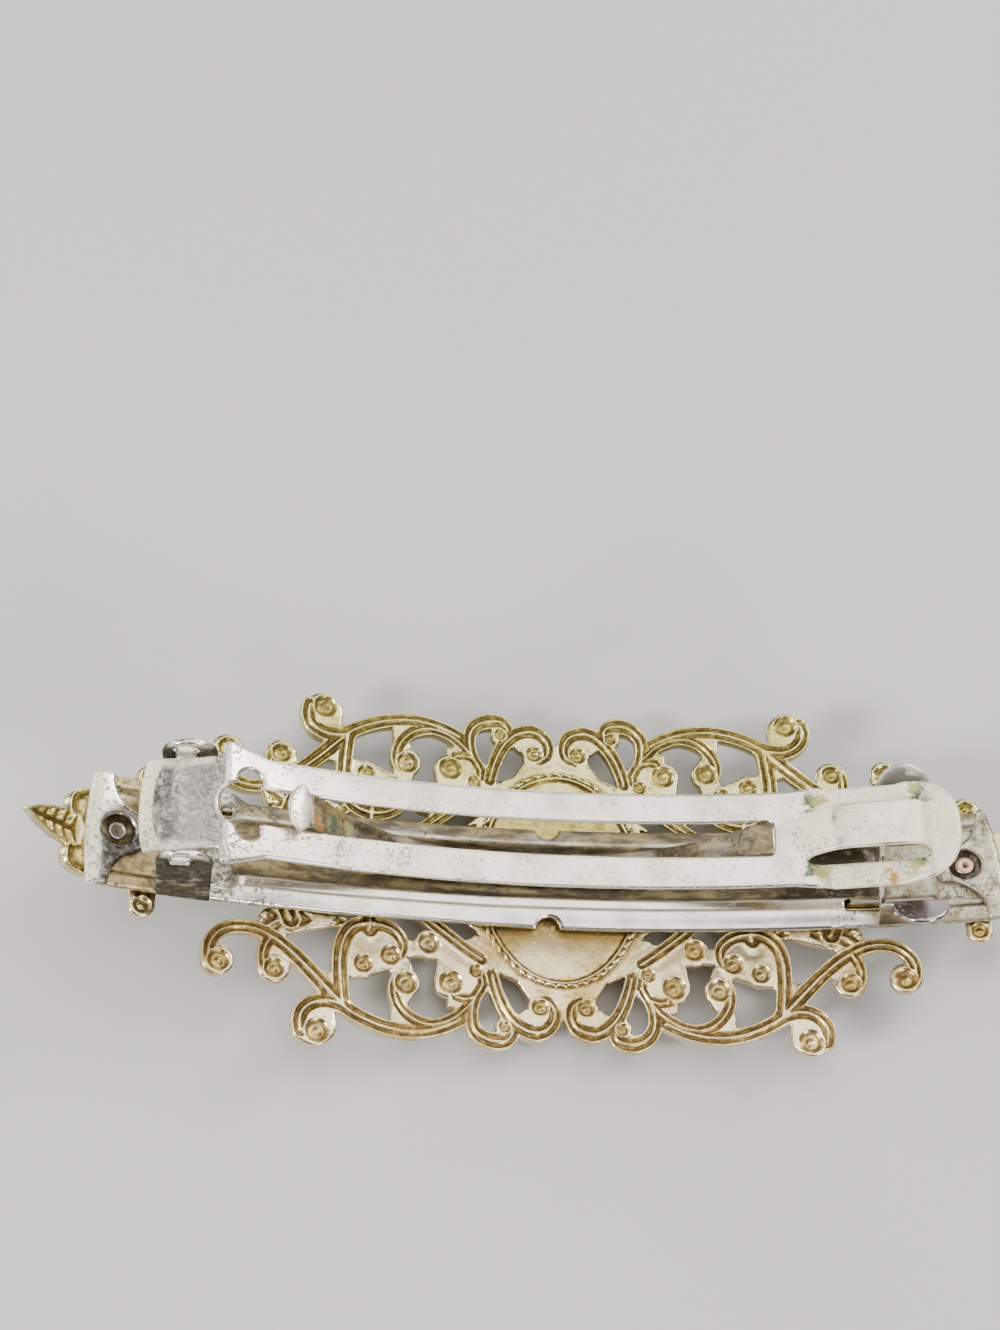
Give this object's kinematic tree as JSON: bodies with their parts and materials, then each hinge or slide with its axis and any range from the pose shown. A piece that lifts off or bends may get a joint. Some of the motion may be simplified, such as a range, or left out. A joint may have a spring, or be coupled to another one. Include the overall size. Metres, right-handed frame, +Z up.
{
  "type": "cameo barrette",
  "caption": "Bowed filigree hair barrette with an oval cameo in front and a hinged spring clip on its back.",
  "frame": {"origin": "middle of the filigree plate, at the level of the surface on which the cameo rests", "axes": "+X along the barrette towards the clasp, +Y across it, +Z up through the clip, away from the cameo"},
  "size_m": [0.0892, 0.0312, 0.0198],
  "materials": {
    "cast_metal": "antique gold-tone casting, worn to silver on its high places",
    "cameo_ground": "polished",
    "cameo_relief": "satin, carved look",
    "nickel_steel": "nickel-plated spring steel, pitted and tarnished",
    "copper": "copper, worn"
  },
  "bodies": {
    "root": {"filigree": "cast_metal", "cameo_ground": "cameo_ground", "cameo_figure": "cameo_relief", "clip_base": "nickel_steel", "rivet_left": "nickel_steel", "rivet_right": "copper"},
    "tongue": {"clip_tongue": "nickel_steel"}
  },
  "joints": [
    {"name": "clip_hinge", "type": "hinge", "parent": "root", "child": "tongue", "pos_m": [-0.032, 0, 0.0168], "axis": [0, -1, 0], "range_deg": [0, 95]}
  ]
}
